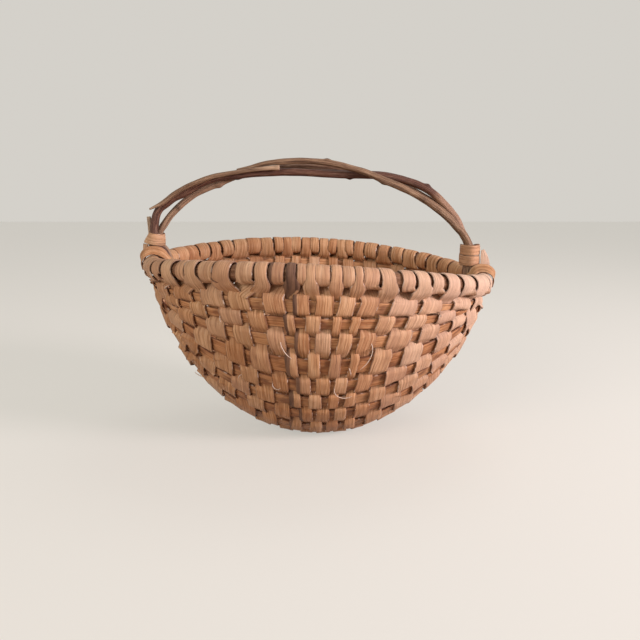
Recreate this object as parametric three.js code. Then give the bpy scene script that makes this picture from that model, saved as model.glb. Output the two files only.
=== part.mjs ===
// Ribbed splint basket with a fixed handle of bound twigs.
// Millimetres, +Z up. The long way of the rim lies along X and the front faces -Y.
// The origin is on the surface that the basket stands on, under the middle of its box.
import * as THREE from "three";

// Rim: an oval hoop of round rod, higher at the left end than at the right one
const rimLength = 300; // over the wraps, along X
const rimWidth = 244; // over the wraps, along Y
const rimHeight = 145.2; // mean height of the rod's centre
const rimRoll = 7.3; // how far the left end is lifted and the right end lowered
const rimSaddle = 5.9; // how far front and back are lifted and the ends lowered
const rodDiameter = 12;
const rodSides = 10;
const rodSteps = 72;
const smallAngle = 0.001; // radians, for directions measured on a curve or a surface

// Splint: flat strips of split wood
const splintThickness = 1.1;
const ribThickness = 1.6;
const fitGap = 0.4; // between strips that lie on each other
const wrapGap = 0.45; // between the rod and the strips wrapped round it
const mitreLimit = 0.8; // least share that a bend's mitre is divided by

// Bowl
const bowlFullness = 1.2; // 1 is a half round section, more is closer to a V
const bottomSettle = 4; // how far the bottom has settled flat
const restCut = 0.4; // the strips are worn flat where the basket stands
const ribReach = 10; // degrees from the end of the rim to the tips of the long ribs
const shortRibRows = 3; // rows at each end that the short ribs don't reach
const weaveRoom = 2.9; // least gap between two ribs, which a weaver passes through
const tipWidth = 1.8; // of a rib at its tips
const rimClearance = 11; // the first rib stays this far under the rod's centre

// Ribs of the front half, from the rim down: degrees below the rim and widths at the middle.
// The first rib lies closer to the rim at the back, the others are alike on both sides.
const frontRibs = [
  { angle: 12.1, backAngle: 9.8, width: 10.2, long: true },
  { angle: 17.6, width: 8.6, long: false },
  { angle: 24.1, width: 10.5, long: false },
  { angle: 32.4, width: 15, long: true },
  { angle: 40.2, width: 12, long: false },
  { angle: 47.4, width: 11.5, long: true },
  { angle: 54.8, width: 12.5, long: false },
  { angle: 66.3, width: 15, long: true },
  { angle: 78.2, width: 15, long: false },
];
const keelWidth = 15;

// Weavers: rows across the bowl, two rows to a weaver
const rowCount = 28;
const rowMargin = 31; // along the rim, from its end to the first row
const middlePitch = 8.7; // between rows in the middle of the basket
const sidePitch = 13.6; // between rows towards its ends
const middleShare = 46; // half the length of rim that has the closer rows
const rowFill = 0.86; // share of the pitch that the strip covers

// Turns round the rim, in degrees about the rod: 0 is outside, 90 is on top
const wrapStart = 196;
const wrapEnd = -42;
const wrapSteps = 6;
const enterTurn = 238;
const tuckTurn = -78;
const bottomTurn = -90; // where a weaver passes from one row to the next at the front rim

// Handle: an arch of twigs. Routes are given as the share of the rim's half length,
// the share of the handle's rise over the rim's mean height, and millimetres along Y.
const handleRise = 90;
const twigSides = 8;
const twigPitch = 12; // along a twig, between two stations
const footDepth = 14; // how far the twigs reach below the rod's centre
const footRadius = 3.5; // of the twigs beside the rim
const bundleGap = 0.45; // between the rim's wraps and the twigs
const leftFeet = { dark: -3.7, light: 3.7 }; // where the twigs stand along Y
const rightFeet = { dark: 0.1, light: 7.1, tan: -6.9 };
// Radii, each with the share of the twig's length where it holds
const darkRadii = [[0, 3.5], [1, 3.1]];
const tanRadii = [[0, 1.3], [0.1, 2.2], [0.2, 2.6], [0.45, 2.9], [0.7, 3.4], [1, 3.3]];
const lightRadii = [[0, 3], [0.35, 2.7], [1, 3]];
const thinRadii = [[0, 0.8], [0.12, 1.9], [0.4, 2.3], [0.85, 1.8], [1, 2.1]];
const stubRadii = [[0, 1.8], [1, 1.8]];
const darkRoute = [
  [-0.94, 0.14, -3.5], [-0.974, 0.19, -3.2], [-0.994, 0.317, -2.8], [-0.988, 0.412, -2.4],
  [-0.973, 0.496, -1.8],
  [-0.951, 0.547, -1.4], [-0.916, 0.588, -1.2], [-0.868, 0.643, -1.2], [-0.807, 0.686, -1],
  [-0.756, 0.729, -0.8], [-0.709, 0.77, -0.6], [-0.64, 0.811, -0.4], [-0.577, 0.833, 0],
  [-0.487, 0.85, 0.4], [-0.408, 0.864, 0.6], [-0.258, 0.878, 0.6], [-0.078, 0.876, 0.8],
  [0.042, 0.867, 1.2], [0.162, 0.857, 1.6], [0.277, 0.854, 1.8], [0.391, 0.846, 1.8],
  [0.491, 0.814, 1.6], [0.591, 0.769, 1.4], [0.676, 0.702, 1.2], [0.769, 0.568, 1.1],
  [0.841, 0.431, 1], [0.881, 0.307, 0.9], [0.921, 0.2, 0.8],
];
const tanRoute = [
  [-0.485, 0.896, -1.2], [-0.406, 0.921, -2.2], [-0.334, 0.951, -3], [-0.255, 0.969, -4.4],
  [-0.178, 0.977, -5.2], [-0.077, 0.98, -5.6], [0.042, 0.965, -5.6], [0.119, 0.946, -5.5],
  [0.196, 0.915, -5.5], [0.273, 0.883, -5.5], [0.397, 0.802, -5.4], [0.498, 0.737, -5.2],
  [0.597, 0.661, -5], [0.68, 0.582, -4.8], [0.797, 0.435, -4.9], [0.843, 0.355, -5.1],
  [0.878, 0.3, -5.3], [0.914, 0.2, -5.6],
];
const lightRoute = [
  [-0.94, 0.14, 3.9], [-0.969, 0.19, 4.1], [-0.969, 0.313, 4.5], [-0.939, 0.386, 4.8], [-0.906, 0.459, 5],
  [-0.863, 0.532, 5.2], [-0.81, 0.605, 5.6], [-0.743, 0.675, 6], [-0.648, 0.743, 6.2],
  [-0.583, 0.786, 6.6], [-0.492, 0.843, 7], [-0.413, 0.874, 7], [-0.321, 0.902, 7],
  [-0.23, 0.919, 7], [-0.109, 0.926, 7.2], [0.042, 0.919, 7.6], [0.164, 0.898, 8],
  [0.279, 0.87, 8], [0.395, 0.818, 8], [0.499, 0.759, 7.8], [0.597, 0.687, 7.5],
  [0.684, 0.611, 7.3], [0.797, 0.482, 7.2], [0.855, 0.375, 7.2], [0.886, 0.297, 7.2],
  [0.918, 0.2, 7.2],
];
const thinRoute = [
  [-1.009, 0.535, -7], [-0.957, 0.572, -7], [-0.911, 0.615, -7], [-0.863, 0.671, -7],
  [-0.798, 0.73, -6.8], [-0.702, 0.796, -6.6], [-0.633, 0.833, -6.4], [-0.57, 0.853, -6.2],
  [-0.487, 0.875, -6], [-0.404, 0.895, -6.1], [-0.314, 0.911, -6.4], [-0.228, 0.922, -6.6],
];
const stubRoute = [[-1.022, 0.145, 1], [-1.022, 0.295, 1], [-1.024, 0.371, 1], [-1.028, 0.462, 1]];

// Collars wound round the twigs above the rim. "reach" is the share of the way to the rod's
// end, "lift" the height of the middle over the rod's centre, "deep" how much longer than
// wide the turns are, and "start" the angle of the first end, 0 being +X
const leftCollar = {
  width: 10.2,
  turns: 1.1,
  pitch: 0,
  start: 60,
  radius: 6.3,
  deep: 3,
  reach: 0.99,
  y: 0.6,
  lift: 21.4,
};
const rightCollar = {
  width: 8.4,
  turns: 1.5,
  pitch: 9.1,
  start: 180,
  radius: 6.9,
  deep: 5.3,
  reach: 0.928,
  y: 0.6,
  lift: 22.2,
};
const collarSteps = 12; // to a turn
const collarGap = 0.5; // between the layers of a collar that lie on each other

// Lashings round the rim at its ends
const lashingWidth = 10;
const lashingPitch = 11.6;
const lashingTurns = 3.2;
const lashingSteps = 9; // to a turn

// Ties that hold the twigs against the rim, with angles in degrees about the rod
const tieWidth = 7.6;
const tieStep = 35;
const tieTurns = [0, 1, 2, 3, 4, 5];
// Stand off the rim and turn towards the front of the near side of each tie, by step
const tieRise = { left: [0, 0.4, 2.6, 3.4, 3.8, 4.4], right: [0, 0.4, 2.4, 3, 3.2, 2.8] };
const tieTwist = [0, 0, 0.5, 0.8, 0.8, 0.4]; // how far the near turn faces the front, by step
const tieStart = -25;
const tieReturn = 215;
const tieClearance = 1.5; // between the outermost twig and the tie beside it
const tieDrop = 6; // how far the tie sinks on its way across the twigs
const tieSlant = 0.35; // lean of its width way there

// Loose splint ends
const tailWidth = 7.6;
const leftTailTurns = [60, 30, 0, -30];
const leftTailStep = 30;
const leftTailOffset = -1; // along the rim
const rightTailLength = 18.5;
const rightTailFoot = { x: 3.6, y: -8.6 };
const rightTailLean = { x: -0.8, y: 0.8 };

// Windings are measured at these shares of each step
const gapShares = [0, 0.25, 0.5, 0.75];

const degree = Math.PI / 180;
const up = new THREE.Vector3(0, 0, 1);
const clamp = THREE.MathUtils.clamp;

// Sizes that follow from those above
const rodRadius = rodDiameter / 2;
const wrapHalfStep = ((180 + 2 * wrapEnd) / 4) * degree; // of the turn below the front rim
const wrapRadius = (rodRadius + wrapGap + splintThickness / 2) / Math.cos(wrapHalfStep);
const rimOuterRadius = wrapRadius + splintThickness / 2;
const halfLength = rimLength / 2 - rimOuterRadius;
const halfWidth = rimWidth / 2 - rimOuterRadius;
const weaveLift = ribThickness / 2 + fitGap + splintThickness / 2;
const floorHeight = weaveLift + splintThickness / 2 - restCut;
const passRadius = wrapRadius + splintThickness + fitGap;

// Centre of the rim rod, by the angle along the rim: 0 is the left end, 90 degrees the front
function rimCentre(along) {
  const roll = rimRoll * Math.cos(along);
  const saddle = -rimSaddle * Math.cos(2 * along);
  return new THREE.Vector3(
    -halfLength * Math.cos(along),
    -halfWidth * Math.sin(along),
    rimHeight + roll + saddle,
  );
}

// Level direction that points away from the basket at that place of the rim
function rimOutward(along) {
  return new THREE.Vector3(-halfWidth * Math.cos(along), -halfLength * Math.sin(along), 0).normalize();
}

function rimTangent(along) {
  return rimCentre(along + smallAngle).sub(rimCentre(along - smallAngle)).normalize();
}

// Middle surface of the bowl: "along" runs from the left end to the right end,
// "round" from the front rim under the bowl to the back rim
function bowlPoint(along, round) {
  const sweep = Math.sin(along);
  const depth = Math.max(sweep * Math.sin(round), 0) ** bowlFullness;
  const rise = (rimCentre(along).z - floorHeight + bottomSettle) * (1 - depth);
  const settled = rise - bottomSettle * (1 - Math.exp(-rise / bottomSettle));
  return new THREE.Vector3(
    -halfLength * Math.cos(along),
    -halfWidth * sweep * Math.cos(round),
    floorHeight + settled,
  );
}

// Direction out of the bowl at a place of its surface
function bowlOutward(along, round) {
  const step = smallAngle;
  const lengthwise = bowlPoint(along + step, round).sub(bowlPoint(along - step, round));
  const across = bowlPoint(along, round + step).sub(bowlPoint(along, round - step));
  return across.cross(lengthwise).normalize();
}

// All ribs from the front rim to the back rim
const ribs = [
  ...frontRibs.map((rib, index) => ({ ...rib, name: "rib_front_" + (index + 1) })),
  { angle: 90, width: keelWidth, long: true, name: "rib_keel" },
  ...frontRibs.map((rib, index) => ({
    ...rib,
    angle: 180 - (rib.backAngle ?? rib.angle),
    name: "rib_back_" + (index + 1),
  })).reverse(),
];

// Angle of a rib at one place of the bowl: near the ends the ribs fan out below the rim
function ribRound(rib, along) {
  const bowlDepth = rimCentre(along).z - floorHeight + bottomSettle;
  const edge = (rimClearance / bowlDepth) ** (1 / bowlFullness);
  const firstHere = Math.asin(clamp(edge / Math.sin(along), 0, 1));
  const firstMiddle = Math.asin(edge);
  const down = Math.min(rib.angle, 180 - rib.angle) * degree;
  const share = (down - firstMiddle) / (Math.PI / 2 - firstMiddle);
  const round = firstHere + (Math.PI / 2 - firstHere) * share;
  return rib.angle > 90 ? Math.PI - round : round;
}

// Lengths along the rim, measured once in small steps
const rimSamples = 720;
const rimLengths = [0];
for (let i = 1; i <= rimSamples; i += 1) {
  const here = rimCentre((i / rimSamples) * Math.PI);
  const before = rimCentre(((i - 1) / rimSamples) * Math.PI);
  rimLengths.push(rimLengths[i - 1] + here.distanceTo(before));
}
const rimSide = rimLengths[rimSamples];

function alongAtLength(length) {
  let i = 1;
  while (i < rimSamples && rimLengths[i] < length) i += 1;
  const span = rimLengths[i] - rimLengths[i - 1];
  return ((i - 1 + (length - rimLengths[i - 1]) / span) / rimSamples) * Math.PI;
}

// Rows: close in the middle, wider apart towards the ends
function pitchWish(length) {
  const fromMiddle = Math.abs(length - rimSide / 2);
  return fromMiddle < middleShare ? middlePitch : sidePitch;
}
const rowLengths = [];
const wishStep = 0.5;
let wishTotal = 0;
for (let length = rowMargin; length < rimSide - rowMargin; length += wishStep) {
  wishTotal += wishStep / pitchWish(length);
}
const wishShare = wishTotal / (rowCount - 1);
let wishSum = 0;
for (let length = rowMargin; length < rimSide - rowMargin; length += wishStep) {
  if (wishSum >= rowLengths.length * wishShare) rowLengths.push(length);
  wishSum += wishStep / pitchWish(length);
}
while (rowLengths.length < rowCount) rowLengths.push(rimSide - rowMargin);
const rows = rowLengths.map((length, index) => {
  const before = rowLengths[index - 1] ?? length - sidePitch;
  const after = rowLengths[index + 1] ?? length + sidePitch;
  const pitch = Math.min(length - before, after - length);
  return { index, along: alongAtLength(length), width: pitch * rowFill };
});

// Borders between the rows, one more than there are rows
const borders = [alongAtLength(rowMargin - sidePitch / 2)];
for (let i = 1; i < rowCount; i += 1) borders.push((rows[i - 1].along + rows[i].along) / 2);
borders.push(Math.PI - borders[0]);

function ribCrossesRow(rib, row) {
  return rib.long || (row.index >= shortRibRows && row.index < rowCount - shortRibRows);
}

function ribPoint(rib, along) {
  return bowlPoint(along, ribRound(rib, along));
}

// A rib narrows towards its tips, and leaves room for the weavers beside it
function ribWidthAt(rib, along, shortOnes) {
  const here = ribPoint(rib, along);
  let nearest = Infinity;
  for (const other of ribs) {
    if (other === rib || (!other.long && !shortOnes)) continue;
    nearest = Math.min(nearest, here.distanceTo(ribPoint(other, along)));
  }
  return Math.max(tipWidth, Math.min(rib.width * Math.sin(along), nearest - weaveRoom));
}

function ribStation(rib, along, shortOnes) {
  const point = ribPoint(rib, along);
  const ahead = ribPoint(rib, along + smallAngle);
  const tangent = ahead.sub(ribPoint(rib, along - smallAngle)).normalize();
  const outward = bowlOutward(along, ribRound(rib, along));
  return { point, side: outward.cross(tangent).normalize(), width: ribWidthAt(rib, along, shortOnes) };
}

// Stations of a rib: its two tips and the borders between the rows that it crosses
for (const rib of ribs) {
  const first = rib.long ? 0 : shortRibRows;
  rib.stations = borders.map((along, i) => {
    const shortOnes = i >= shortRibRows && i <= rowCount - shortRibRows;
    return ribStation(rib, along, shortOnes);
  });
  rib.used = rib.stations.slice(first, rowCount + 1 - first);
  if (rib.long) {
    rib.used.unshift(ribStation(rib, ribReach * degree, false));
    rib.used.push(ribStation(rib, Math.PI - ribReach * degree, false));
  }
}

// Closed body from rings of corners, all rings with as many corners
function bodyFromRings(rings, closed) {
  const size = rings[0].length;
  const positions = rings.flat().flatMap((corner) => [corner.x, corner.y, corner.z]);
  const faces = [];
  const last = closed ? rings.length : rings.length - 1;
  for (let i = 0; i < last; i += 1) {
    const near = i * size;
    const far = ((i + 1) % rings.length) * size;
    for (let j = 0; j < size; j += 1) {
      const next = (j + 1) % size;
      faces.push(near + j, near + next, far + next, near + j, far + next, far + j);
    }
  }
  if (!closed) {
    const end = (rings.length - 1) * size;
    for (let j = 1; j < size - 1; j += 1) {
      faces.push(0, j + 1, j, end, end + j, end + j + 1);
    }
  }
  const geometry = new THREE.BufferGeometry();
  geometry.setAttribute("position", new THREE.Float32BufferAttribute(positions, 3));
  geometry.setIndex(faces);
  geometry.computeVertexNormals();
  return geometry;
}

// Flat strip through stations of { point, side, width }, where "side" is the strip's width way
function stripRings(stations, thickness) {
  return stations.map((station, i) => {
    const before = stations[Math.max(i - 1, 0)].point;
    const after = stations[Math.min(i + 1, stations.length - 1)].point;
    const into = station.point.clone().sub(before).normalize();
    const out = after.clone().sub(station.point).normalize();
    const tangent = into.clone().add(out).normalize();
    const lift = tangent.clone().cross(station.side).normalize();
    const bend = i > 0 && i < stations.length - 1 ? Math.sqrt((1 + into.dot(out)) / 2) : 1;
    lift.multiplyScalar(thickness / 2 / Math.max(bend, mitreLimit));
    const half = station.side.clone().multiplyScalar(station.width / 2);
    const corners = [[1, 1], [-1, 1], [-1, -1], [1, -1]].map(([across, over]) =>
      station.point.clone().addScaledVector(half, across).addScaledVector(lift, over),
    );
    for (const corner of corners) corner.z = Math.max(corner.z, 0);
    return corners;
  });
}

function stripGeometry(stations, thickness) {
  return bodyFromRings(stripRings(stations, thickness), false);
}

// Least gap between one turn of a winding and the next, measured on points of its edges
function leastGap(rings, stepsToTurn) {
  const fine = rings.flatMap((ring, i) => {
    const next = rings[i + 1] ?? ring;
    return gapShares.map((share) => ring.map((corner, j) => corner.clone().lerp(next[j], share)));
  });
  const halfTurn = Math.round((stepsToTurn * gapShares.length) / 2);
  let least = Infinity;
  fine.forEach((ring, i) => {
    for (const other of fine.slice(i + halfTurn).flat()) {
      for (const corner of ring) least = Math.min(least, corner.distanceTo(other));
    }
  });
  return least;
}

// Round rod through points; "radiusAt" gives its radius by the share of its length
function rodGeometry(curve, steps, sides, radiusAt, closed) {
  const frames = curve.computeFrenetFrames(steps, closed);
  const rings = [];
  for (let i = 0; i < (closed ? steps : steps + 1); i += 1) {
    const centre = curve.getPointAt(i / steps);
    const ring = [];
    for (let j = 0; j < sides; j += 1) {
      const turn = (j / sides) * 2 * Math.PI;
      ring.push(
        centre.clone()
          .addScaledVector(frames.normals[i], Math.cos(turn) * radiusAt(i / steps))
          .addScaledVector(frames.binormals[i], Math.sin(turn) * radiusAt(i / steps)),
      );
    }
    rings.push(ring);
  }
  return bodyFromRings(rings, closed);
}

const group = new THREE.Group();

function addPiece(name, geometry, colour, roughness) {
  const material = new THREE.MeshStandardMaterial({ color: colour, roughness, metalness: 0 });
  const mesh = new THREE.Mesh(geometry, material);
  mesh.name = name;
  group.add(mesh);
}

// Rim rod
class RimCurve extends THREE.Curve {
  getPoint(share) {
    return rimCentre(share * 2 * Math.PI);
  }
}
const rimHoop = rodGeometry(new RimCurve(), rodSteps, rodSides, () => rodRadius, true);
addPiece("rim_rod", rimHoop, "#8a5638", 0.7);

// Ribs
for (const rib of ribs) {
  addPiece(rib.name, stripGeometry(rib.used, ribThickness), "#b07c4e", 0.75);
}

// Place on the rod's surface at a turn about it, for the front rim or the back rim
function rimStation(along, turn, radius, width, back) {
  const radians = turn * degree;
  const point = rimCentre(along)
    .addScaledVector(rimOutward(along), radius * Math.cos(radians))
    .addScaledVector(up, radius * Math.sin(radians));
  const side = rimTangent(along);
  if (back) {
    point.y = -point.y;
    side.y = -side.y;
  }
  return { point, side, width };
}

// Strip round the rim from where it enters below the rod to where it leaves the outside.
// A row that passes outside the first rib enters inside the rim, and the other way about.
function rimWrap(row, outside, back) {
  const stations = [];
  const mirror = (turn) => (outside ? turn : 180 - turn);
  stations.push(rimStation(row.along, mirror(enterTurn), passRadius, row.width, back));
  for (let i = 0; i <= wrapSteps; i += 1) {
    const turn = wrapStart + ((wrapEnd - wrapStart) * i) / wrapSteps;
    stations.push(rimStation(row.along, mirror(turn), wrapRadius, row.width, back));
  }
  return stations;
}

// Row across the bowl, from the front to the back, over and under the ribs in turn.
// Each crossing lies flat along the stretch of rib between the borders of the row.
function bowlRow(row) {
  const stations = [];
  ribs.filter((rib) => ribCrossesRow(rib, row)).forEach((rib, index) => {
    const near = rib.stations[row.index];
    const far = rib.stations[row.index + 1];
    const centre = near.point.clone().add(far.point).divideScalar(2);
    const tangent = far.point.clone().sub(near.point).normalize();
    const across = near.side.clone().add(far.side).normalize();
    const outward = tangent.clone().cross(across);
    const lift = (row.index + index) % 2 === 0 ? weaveLift : -weaveLift;
    const half = Math.max(near.width, far.width) / 2 + fitGap / 2;
    for (const way of [1, -1]) {
      const point = centre.clone().addScaledVector(outward, lift).addScaledVector(across, way * half);
      stations.push({ point, side: tangent, width: row.width });
    }
  });
  return stations;
}

// Weaver of two rows: it starts tucked at the back rim, crosses to the front, turns round
// the front rim into the next row, and goes back to the back rim. Its first row passes
// outside the first rib at both rims, and its second row inside it.
function weaverStations(first, second) {
  const turnRow = {
    along: (first.along + second.along) / 2,
    width: (first.width + second.width) / 2,
  };
  return [
    rimStation(first.along, tuckTurn, wrapRadius, first.width, true),
    ...rimWrap(first, true, true).reverse(),
    ...bowlRow(first).reverse(),
    ...rimWrap(first, true, false),
    rimStation(turnRow.along, bottomTurn, wrapRadius, turnRow.width, false),
    ...rimWrap(second, false, false).reverse(),
    ...bowlRow(second),
    ...rimWrap(second, false, true),
    rimStation(second.along, 180 - tuckTurn, wrapRadius, second.width, true),
  ];
}

for (let i = 0; i < rowCount; i += 2) {
  const number = String(i / 2 + 1).padStart(2, "0");
  const stations = weaverStations(rows[i], rows[i + 1]);
  addPiece("weaver_" + number, stripGeometry(stations, splintThickness), "#c79a68", 0.7);
}

// Handle twigs
const leftEnd = 0;
const rightEnd = Math.PI;

function routePoints(route) {
  return route.map(([reach, rise, y]) => {
    return new THREE.Vector3(reach * halfLength, y, rimHeight + rise * handleRise);
  });
}

// Lower end of a twig, straight down along the inside of the rim
function footPoints(end, y) {
  const centre = rimCentre(end);
  const inside = rimOuterRadius + bundleGap + footRadius;
  const x = centre.x - Math.sign(centre.x) * inside;
  return [2, -footDepth / 2, -footDepth].map((z) => new THREE.Vector3(x, y, centre.z + z));
}

function radiusAlong(radii) {
  return (share) => {
    const next = Math.max(1, radii.findIndex((entry) => entry[0] >= share));
    const [start, first] = radii[next - 1];
    const [end, last] = radii[next];
    return THREE.MathUtils.mapLinear(share, start, end, first, last);
  };
}

function addTwig(name, points, radiusAt, colour) {
  const curve = new THREE.CatmullRomCurve3(points, false, "centripetal");
  const steps = Math.ceil(curve.getLength() / twigPitch);
  addPiece(name, rodGeometry(curve, steps, twigSides, radiusAt, false), colour, 0.6);
}

addTwig(
  "twig_dark",
  [
    ...footPoints(leftEnd, leftFeet.dark).reverse(),
    ...routePoints(darkRoute),
    ...footPoints(rightEnd, rightFeet.dark),
  ],
  radiusAlong(darkRadii),
  "#5a3324",
);
addTwig(
  "twig_tan",
  [...routePoints(tanRoute), ...footPoints(rightEnd, rightFeet.tan)],
  radiusAlong(tanRadii),
  "#94684a",
);
addTwig(
  "twig_light",
  [
    ...footPoints(leftEnd, leftFeet.light).reverse(),
    ...routePoints(lightRoute),
    ...footPoints(rightEnd, rightFeet.light),
  ],
  radiusAlong(lightRadii),
  "#7d523a",
);
addTwig("twig_thin", routePoints(thinRoute), radiusAlong(thinRadii), "#b98f6c");
addTwig("twig_stub", routePoints(stubRoute), radiusAlong(stubRadii), "#c79a6e");

// Strip wound on itself: its least gap between turns is printed
function addWinding(name, stations, stepsToTurn, colour) {
  const rings = stripRings(stations, splintThickness);
  console.log(name, "least gap between its turns", leastGap(rings, stepsToTurn).toFixed(2), "mm");
  addPiece(name, bodyFromRings(rings, false), colour, 0.65);
}

// A turn stays level round its first half and sinks to the next one round its second half
function stepDown(turns) {
  const whole = Math.floor(turns);
  const sunk = Math.max(0, 2 * (turns - whole) - 1);
  return whole + sunk * sunk * (3 - 2 * sunk);
}

// Collars: a flat strip wound round the twigs, each new layer lying on the last or below it
function collarStations(collar, rim) {
  const stations = [];
  const steps = Math.round(collar.turns * collarSteps);
  const layer = collar.pitch > 0 ? 0 : splintThickness + collarGap;
  const middle = new THREE.Vector3(rim.x * collar.reach, collar.y, rim.z + collar.lift);
  for (let i = 0; i <= steps; i += 1) {
    const turns = i / collarSteps;
    const angle = collar.start * degree + turns * 2 * Math.PI;
    const drop = collar.pitch * (stepDown(turns) - 0.5);
    const radius = collar.radius + fitGap + splintThickness / 2 + layer * turns;
    const reach = Math.cos(angle) * radius;
    const depth = Math.sin(angle) * (radius + collar.deep);
    const point = new THREE.Vector3(reach, depth, -drop).add(middle);
    stations.push({ point, side: up.clone(), width: collar.width });
  }
  return stations;
}

const leftRim = rimCentre(leftEnd);
const rightRim = rimCentre(rightEnd);
addWinding("collar_left", collarStations(leftCollar, leftRim), collarSteps, "#d3a574");
addWinding("collar_right", collarStations(rightCollar, rightRim), collarSteps, "#c99a6c");

// Station round the rim near one end: "offset" is measured along the rim from the end
function endStation(end, offset, turn, radius, width) {
  const sign = end === leftEnd ? -1 : 1;
  return rimStation(end + (sign * offset) / halfWidth, turn, radius, width, false);
}

// Lashing: one strip in a close winding over the bare end of the rod
function lashingStations(end) {
  const stations = [];
  const steps = lashingTurns * lashingSteps;
  for (let i = 0; i <= steps; i += 1) {
    const offset = ((i / steps) * lashingTurns - lashingTurns / 2) * lashingPitch;
    stations.push(endStation(end, offset, -90 - (i / lashingSteps) * 360, wrapRadius, lashingWidth));
  }
  return stations;
}

// Radius of a strip that lies over the wraps in steps of so many degrees
function overRadius(step) {
  return (rimOuterRadius + fitGap + splintThickness / 2) / Math.cos((step / 2) * degree);
}

// Tie: over the rim beside the twigs, across their inner faces, and back under the rim
function tieStations(end) {
  const centre = rimCentre(end);
  const inward = -Math.sign(centre.x);
  const feet = Object.values(end === leftEnd ? leftFeet : rightFeet);
  const beside = Math.max(...feet.map(Math.abs)) + footRadius + tieClearance;
  const reach = rimOuterRadius + bundleGap + 2 * footRadius + fitGap + splintThickness / 2;
  const across = (y, z) => ({
    point: new THREE.Vector3(centre.x + inward * reach, y, centre.z + z),
    side: new THREE.Vector3(0, tieSlant, 1).normalize(),
    width: tieWidth,
  });
  const offset = beside + tieWidth / 2;
  const radius = overRadius(tieStep);
  const rises = end === leftEnd ? tieRise.left : tieRise.right;
  const near = tieTurns.map((turn) => {
    const degrees = tieStart + turn * tieStep;
    const station = endStation(end, -offset, degrees, radius + rises[turn], tieWidth);
    const away = rimOutward(end).multiplyScalar(Math.cos(degrees * degree));
    away.addScaledVector(up, Math.sin(degrees * degree));
    const side = station.side.clone().multiplyScalar(Math.sign(station.side.y));
    station.side = side.lerp(away, tieTwist[turn]).normalize();
    return station;
  });
  const far = tieTurns.map((turn) => {
    return endStation(end, offset, tieReturn + turn * tieStep, radius, tieWidth);
  });
  return [...near, across(-beside, 0), across(beside, -tieDrop), ...far];
}

for (const [name, end] of [["left", leftEnd], ["right", rightEnd]]) {
  addWinding("lashing_" + name, lashingStations(end), lashingSteps, "#c99a6c");
  addPiece("tie_" + name, stripGeometry(tieStations(end), splintThickness), "#c08f60", 0.65);
}

// Loose splint ends: one lies down the outside of the rim at the left, and one stands up
// beside the collar at the right
const leftTail = leftTailTurns.map((turn) => {
  return endStation(leftEnd, leftTailOffset, turn, overRadius(leftTailStep), tailWidth);
});
addPiece("tail_left", stripGeometry(leftTail, splintThickness), "#cfa173", 0.65);

const rightTail = [0, 0.5, 1].map((share) => {
  const point = new THREE.Vector3(
    rightRim.x + rightTailFoot.x + share * rightTailLean.x,
    rightTailFoot.y + share * rightTailLean.y,
    rightRim.z + rimOuterRadius + fitGap + share * rightTailLength,
  );
  return { point, side: new THREE.Vector3(1, 0, 0), width: tailWidth };
});
addPiece("tail_right", stripGeometry(rightTail, splintThickness), "#e0b68c", 0.65);

// The origin goes under the middle of the box, on the surface that the basket stands on
const box = new THREE.Box3().setFromObject(group);
const middle = box.getCenter(new THREE.Vector3());
group.position.set(-middle.x, -middle.y, -box.min.z);

export default group;
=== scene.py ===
import math

import bpy
from mathutils import Matrix, Vector, noise


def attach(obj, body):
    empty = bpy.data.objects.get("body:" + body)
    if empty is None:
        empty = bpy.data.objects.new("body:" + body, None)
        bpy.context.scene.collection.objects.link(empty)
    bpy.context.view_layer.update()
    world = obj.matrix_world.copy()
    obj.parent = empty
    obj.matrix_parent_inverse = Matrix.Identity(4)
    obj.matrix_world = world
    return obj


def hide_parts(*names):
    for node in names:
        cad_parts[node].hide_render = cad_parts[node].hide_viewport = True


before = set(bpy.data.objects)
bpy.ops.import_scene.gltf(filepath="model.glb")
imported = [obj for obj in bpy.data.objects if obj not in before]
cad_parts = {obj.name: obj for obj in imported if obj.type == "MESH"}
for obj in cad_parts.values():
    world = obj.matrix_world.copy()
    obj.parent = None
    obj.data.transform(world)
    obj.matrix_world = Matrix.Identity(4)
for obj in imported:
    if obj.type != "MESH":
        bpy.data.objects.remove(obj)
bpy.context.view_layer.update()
up = Vector((0, 0, 1))


def lerp(a, b, share):
    return a + (b - a) * share


def clamp(value, low, high):
    return max(low, min(high, value))


seedStep = (7.31, 3.17)  # how far the waves of two seeds lie apart in the noise


def wave(place, scale, seed):  # smooth noise from -1 to 1, with features "scale" long
    return noise.noise(Vector((place / scale, seed * seedStep[0], seed * seedStep[1])))


# Shader maths: a link carries one output socket, and maths on it adds nodes

class Link:
    def __init__(self, finish, socket):
        self.finish = finish
        self.socket = socket

    def maths(self, operation, *others):
        values = [self, *others]
        return self.finish.add("ShaderNodeMath", {"operation": operation}, dict(enumerate(values)))

    def __add__(self, other):
        return self.maths("ADD", other)

    def __radd__(self, other):
        return self.maths("ADD", other)

    def __sub__(self, other):
        return self.maths("SUBTRACT", other)

    def __rsub__(self, other):
        return self.finish.add("ShaderNodeMath", {"operation": "SUBTRACT"}, {0: other, 1: self})

    def __mul__(self, other):
        return self.maths("MULTIPLY", other)

    def __rmul__(self, other):
        return self.maths("MULTIPLY", other)

    def __abs__(self):
        return self.maths("ABSOLUTE")

    def between(self, low, high):  # 0 below low, 1 above high, smooth in between
        return self.finish.add(
            "ShaderNodeMapRange",
            {"interpolation_type": "SMOOTHSTEP"},
            {"Value": self, "From Min": low, "From Max": high},
        )


seenRays = ("Is Camera Ray", "Is Glossy Ray", "Is Transmission Ray")


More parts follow.
